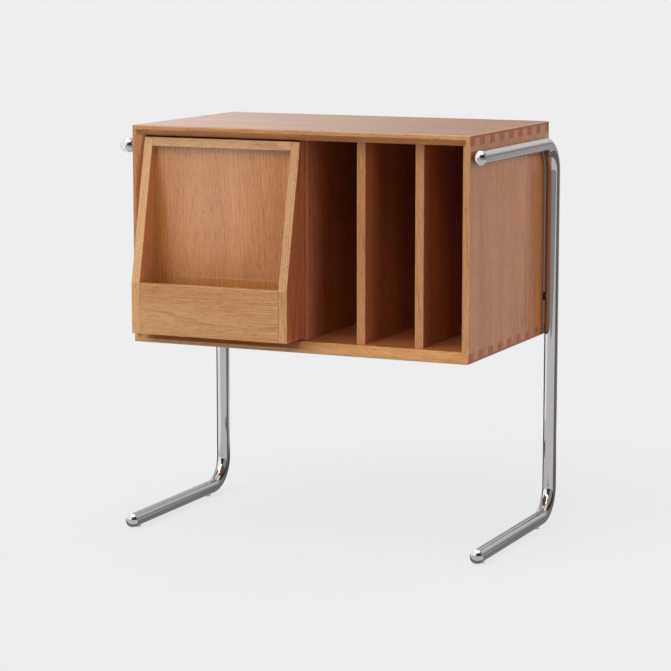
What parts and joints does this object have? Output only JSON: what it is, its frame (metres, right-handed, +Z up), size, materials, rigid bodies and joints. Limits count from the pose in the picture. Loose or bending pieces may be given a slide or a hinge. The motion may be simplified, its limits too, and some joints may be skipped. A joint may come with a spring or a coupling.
{
  "type": "side cabinet on tube frames",
  "caption": "Low wooden side cabinet on two chrome C-shaped tube frames, with open record slots and a pull-out drawer behind a leaning magazine display.",
  "frame": {"origin": "on the floor under the middle of the whole piece", "axes": "+X to the right as seen from the front, +Y to the back, +Z up"},
  "size_m": [0.6944, 0.442, 0.734],
  "materials": {
    "cherry_veneer": "satin lacquered cherry veneer with fine straight grain",
    "cherry_plywood": "thin plywood faced in cherry, lacquered",
    "beech_plywood": "pale beech plywood, clear lacquer",
    "beech_dowel": "plain turned beech, not finished",
    "chrome_tube": "polished chrome plate on steel tube",
    "zinc_steel": "bright zinc plated sheet steel",
    "black_steel": "blackened steel",
    "black_nylon": "moulded black nylon, matt",
    "clear_nylon": "moulded natural nylon, milky"
  },
  "bodies": {
    "case": {"top_panel": "cherry_veneer", "bottom_panel": "cherry_veneer", "left_panel": "cherry_veneer", "right_panel": "cherry_veneer", "partition": "cherry_veneer", "divider_1": "cherry_veneer", "divider_2": "cherry_veneer", "back_panel": "cherry_plywood", "runner_left_case": "zinc_steel", "runner_right_case": "zinc_steel", "runner_case_screws": "zinc_steel", "left_leg_tube": "chrome_tube", "right_leg_tube": "chrome_tube", "leg_end_caps": "chrome_tube", "leg_bolts": "black_steel", "leg_washers": "black_nylon", "leg_inserts": "zinc_steel", "foot_glides": "clear_nylon"},
    "drawer": {"display_left_side": "cherry_veneer", "display_right_side": "cherry_veneer", "display_lip": "cherry_veneer", "display_top_rail": "cherry_veneer", "display_back": "cherry_veneer", "display_floor": "cherry_plywood", "display_dowels": "beech_dowel", "drawer_left_side": "beech_plywood", "drawer_right_side": "beech_plywood", "drawer_box_front": "beech_plywood", "drawer_box_back": "beech_plywood", "drawer_bottom": "beech_plywood", "drawer_front_screws": "zinc_steel", "runner_drawer_screws": "zinc_steel", "runner_left_drawer": "zinc_steel", "runner_right_drawer": "zinc_steel"},
    "left_runner": {"runner_left_middle": "zinc_steel"},
    "right_runner": {"runner_right_middle": "zinc_steel"}
  },
  "joints": [
    {"name": "drawer_slide", "type": "slide", "parent": "case", "child": "drawer", "axis": [0, -1, 0], "range_m": [0, 0.29]},
    {"name": "left_runner_slide", "type": "slide", "parent": "case", "child": "left_runner", "axis": [0, -1, 0], "range_m": [0, 0.145]},
    {"name": "right_runner_slide", "type": "slide", "parent": "case", "child": "right_runner", "axis": [0, -1, 0], "range_m": [0, 0.145]}
  ],
  "couplings": [
    {"joint": "left_runner_slide", "follows": "drawer_slide", "ratio": 0.5},
    {"joint": "right_runner_slide", "follows": "drawer_slide", "ratio": 0.5}
  ]
}
